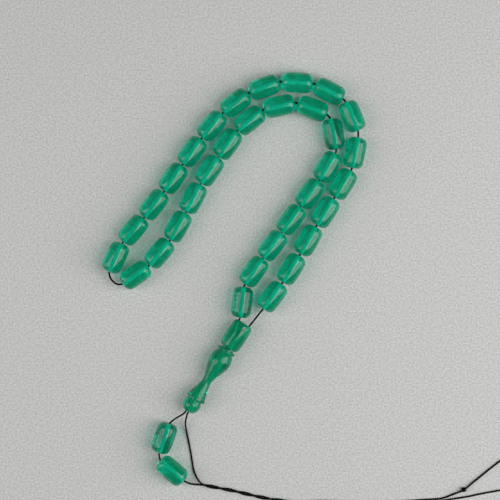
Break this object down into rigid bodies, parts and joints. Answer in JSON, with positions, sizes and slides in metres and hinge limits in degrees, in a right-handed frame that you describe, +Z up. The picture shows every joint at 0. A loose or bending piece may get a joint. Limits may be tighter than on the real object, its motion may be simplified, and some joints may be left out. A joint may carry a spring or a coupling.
{
  "type": "misbaha prayer beads",
  "caption": "Prayer beads: green barrel beads on a black thread loop, gathered into a turned leader with collar, belly and ball, with free thread ends that carry spare beads.",
  "frame": {"origin": "on the ground, at the middle of the loop and imame's plan box", "axes": "+Z up from the ground the strand lies on, +Y along the loop from the leader to the top of the arch, +X to the side the outer strand lies on"},
  "size_m": [0.1476, 0.1604, 0.0083],
  "materials": {
    "bead_resin": "polished cloudy green resin",
    "imame_resin": "polished cloudy green resin, turned",
    "thread": "black twisted cord, slightly waxed"
  },
  "bodies": {
    "strand": {"loop_thread": "thread", "imame_head": "imame_resin", "tail_thread_beaded": "thread", "tail_thread_plain": "thread", "tail_knot": "thread"},
    "imame_pen": {"imame_pen": "imame_resin"},
    "bead_01": {"bead_01": "bead_resin"},
    "bead_02": {"bead_02": "bead_resin"},
    "bead_03": {"bead_03": "bead_resin"},
    "bead_04": {"bead_04": "bead_resin"},
    "bead_05": {"bead_05": "bead_resin"},
    "bead_06": {"bead_06": "bead_resin"},
    "bead_07": {"bead_07": "bead_resin"},
    "bead_08": {"bead_08": "bead_resin"},
    "bead_09": {"bead_09": "bead_resin"},
    "bead_10": {"bead_10": "bead_resin"},
    "bead_11": {"bead_11": "bead_resin"},
    "bead_12": {"bead_12": "bead_resin"},
    "bead_13": {"bead_13": "bead_resin"},
    "bead_14": {"bead_14": "bead_resin"},
    "bead_15": {"bead_15": "bead_resin"},
    "bead_16": {"bead_16": "bead_resin"},
    "bead_17": {"bead_17": "bead_resin"},
    "bead_18": {"bead_18": "bead_resin"},
    "bead_19": {"bead_19": "bead_resin"},
    "bead_20": {"bead_20": "bead_resin"},
    "bead_21": {"bead_21": "bead_resin"},
    "bead_22": {"bead_22": "bead_resin"},
    "bead_23": {"bead_23": "bead_resin"},
    "bead_24": {"bead_24": "bead_resin"},
    "bead_25": {"bead_25": "bead_resin"},
    "bead_26": {"bead_26": "bead_resin"},
    "bead_27": {"bead_27": "bead_resin"},
    "bead_28": {"bead_28": "bead_resin"},
    "bead_29": {"bead_29": "bead_resin"},
    "bead_30": {"bead_30": "bead_resin"},
    "bead_31": {"bead_31": "bead_resin"},
    "bead_32": {"bead_32": "bead_resin"},
    "bead_33": {"bead_33": "bead_resin"},
    "tail_bead_1": {"tail_bead_1": "bead_resin"},
    "tail_bead_2": {"tail_bead_2": "bead_resin"}
  },
  "joints": [
    {"name": "imame_pen_spin", "type": "hinge", "parent": "strand", "child": "imame_pen", "pos_m": [-0.00248, -0.0393, 0.00417], "axis": [0.5432, 0.8396, 0], "continuous": true},
    {"name": "bead_01_spin", "type": "hinge", "parent": "strand", "child": "bead_01", "pos_m": [0.00278, -0.02221, 0.0038], "axis": [0.1182, 0.993, 0], "continuous": true},
    {"name": "bead_02_spin", "type": "hinge", "parent": "strand", "child": "bead_02", "pos_m": [0.00712, -0.01094, 0.0038], "axis": [0.5764, 0.8172, 0], "continuous": true},
    {"name": "bead_03_spin", "type": "hinge", "parent": "strand", "child": "bead_03", "pos_m": [0.01396, -0.00137, 0.0038], "axis": [0.5877, 0.809, 0], "continuous": true},
    {"name": "bead_04_spin", "type": "hinge", "parent": "strand", "child": "bead_04", "pos_m": [0.02083, 0.00817, 0.0038], "axis": [0.5804, 0.8143, 0], "continuous": true},
    {"name": "bead_05_spin", "type": "hinge", "parent": "strand", "child": "bead_05", "pos_m": [0.02768, 0.01773, 0.0038], "axis": [0.5844, 0.8115, 0], "continuous": true},
    {"name": "bead_06_spin", "type": "hinge", "parent": "strand", "child": "bead_06", "pos_m": [0.0342, 0.02759, 0.0038], "axis": [0.5177, 0.8556, 0], "continuous": true},
    {"name": "bead_07_spin", "type": "hinge", "parent": "strand", "child": "bead_07", "pos_m": [0.0364, 0.03965, 0.0038], "axis": [-0.1843, 0.9829, 0], "continuous": true},
    {"name": "bead_08_spin", "type": "hinge", "parent": "strand", "child": "bead_08", "pos_m": [0.02868, 0.04902, 0.0038], "axis": [-0.929, 0.37, 0], "continuous": true},
    {"name": "bead_09_spin", "type": "hinge", "parent": "strand", "child": "bead_09", "pos_m": [0.01651, 0.04995, 0.0038], "axis": [-0.9755, -0.2201, 0], "continuous": true},
    {"name": "bead_10_spin", "type": "hinge", "parent": "strand", "child": "bead_10", "pos_m": [0.00565, 0.0447, 0.0038], "axis": [-0.7805, -0.6251, 0], "continuous": true},
    {"name": "bead_11_spin", "type": "hinge", "parent": "strand", "child": "bead_11", "pos_m": [-0.0025, 0.03598, 0.0038], "axis": [-0.5746, -0.8185, 0], "continuous": true},
    {"name": "bead_12_spin", "type": "hinge", "parent": "strand", "child": "bead_12", "pos_m": [-0.00917, 0.02625, 0.0038], "axis": [-0.5562, -0.8311, 0], "continuous": true},
    {"name": "bead_13_spin", "type": "hinge", "parent": "strand", "child": "bead_13", "pos_m": [-0.01523, 0.01605, 0.0038], "axis": [-0.4637, -0.886, 0], "continuous": true},
    {"name": "bead_14_spin", "type": "hinge", "parent": "strand", "child": "bead_14", "pos_m": [-0.02086, 0.00568, 0.0038], "axis": [-0.4916, -0.8708, 0], "continuous": true},
    {"name": "bead_15_spin", "type": "hinge", "parent": "strand", "child": "bead_15", "pos_m": [-0.02764, -0.00411, 0.0038], "axis": [-0.6419, -0.7668, 0], "continuous": true},
    {"name": "bead_16_spin", "type": "hinge", "parent": "strand", "child": "bead_16", "pos_m": [-0.03642, -0.01221, 0.0038], "axis": [-0.8178, -0.5755, 0], "continuous": true},
    {"name": "bead_17_spin", "type": "hinge", "parent": "strand", "child": "bead_17", "pos_m": [-0.04378, -0.00581, 0.0038], "axis": [0.4236, 0.9058, 0], "continuous": true},
    {"name": "bead_18_spin", "type": "hinge", "parent": "strand", "child": "bead_18", "pos_m": [-0.03721, 0.00437, 0.0038], "axis": [0.6492, 0.7606, 0], "continuous": true},
    {"name": "bead_19_spin", "type": "hinge", "parent": "strand", "child": "bead_19", "pos_m": [-0.02964, 0.01369, 0.0038], "axis": [0.6104, 0.7921, 0], "continuous": true},
    {"name": "bead_20_spin", "type": "hinge", "parent": "strand", "child": "bead_20", "pos_m": [-0.02257, 0.02338, 0.0038], "axis": [0.5682, 0.8229, 0], "continuous": true},
    {"name": "bead_21_spin", "type": "hinge", "parent": "strand", "child": "bead_21", "pos_m": [-0.01567, 0.03317, 0.0038], "axis": [0.5844, 0.8115, 0], "continuous": true},
    {"name": "bead_22_spin", "type": "hinge", "parent": "strand", "child": "bead_22", "pos_m": [-0.00831, 0.04267, 0.0038], "axis": [0.6386, 0.7696, 0], "continuous": true},
    {"name": "bead_23_spin", "type": "hinge", "parent": "strand", "child": "bead_23", "pos_m": [0.0004, 0.05107, 0.0038], "axis": [0.793, 0.6092, 0], "continuous": true},
    {"name": "bead_24_spin", "type": "hinge", "parent": "strand", "child": "bead_24", "pos_m": [0.01103, 0.0569, 0.0038], "axis": [0.9407, 0.3393, 0], "continuous": true},
    {"name": "bead_25_spin", "type": "hinge", "parent": "strand", "child": "bead_25", "pos_m": [0.0231, 0.05863, 0.0038], "axis": [0.998, -0.0632, 0], "continuous": true},
    {"name": "bead_26_spin", "type": "hinge", "parent": "strand", "child": "bead_26", "pos_m": [0.03484, 0.05532, 0.0038], "axis": [0.8839, -0.4677, 0], "continuous": true},
    {"name": "bead_27_spin", "type": "hinge", "parent": "strand", "child": "bead_27", "pos_m": [0.04328, 0.04618, 0.0038], "axis": [0.3882, -0.9216, 0], "continuous": true},
    {"name": "bead_28_spin", "type": "hinge", "parent": "strand", "child": "bead_28", "pos_m": [0.04438, 0.03279, 0.0038], "axis": [-0.1959, -0.9806, 0], "continuous": true},
    {"name": "bead_29_spin", "type": "hinge", "parent": "strand", "child": "bead_29", "pos_m": [0.03988, 0.02129, 0.0038], "axis": [-0.5219, -0.853, 0], "continuous": true},
    {"name": "bead_30_spin", "type": "hinge", "parent": "strand", "child": "bead_30", "pos_m": [0.03341, 0.01094, 0.0038], "axis": [-0.5381, -0.8429, 0], "continuous": true},
    {"name": "bead_31_spin", "type": "hinge", "parent": "strand", "child": "bead_31", "pos_m": [0.02708, 0.00049, 0.0038], "axis": [-0.4977, -0.8673, 0], "continuous": true},
    {"name": "bead_32_spin", "type": "hinge", "parent": "strand", "child": "bead_32", "pos_m": [0.02084, -0.01, 0.0038], "axis": [-0.5257, -0.8507, 0], "continuous": true},
    {"name": "bead_33_slide", "type": "slide", "parent": "strand", "child": "bead_33", "axis": [-0.5998, -0.8001, 0], "range_m": [0, 0.0025]},
    {"name": "tail_bead_1_spin", "type": "hinge", "parent": "strand", "child": "tail_bead_1", "pos_m": [-0.02587, -0.07217, 0.0038], "axis": [-0.3452, -0.9385, -0.0002], "continuous": true},
    {"name": "tail_bead_2_spin", "type": "hinge", "parent": "strand", "child": "tail_bead_2", "pos_m": [-0.02299, -0.08421, 0.00392], "axis": [0.7588, -0.651, 0.0213], "continuous": true}
  ]
}
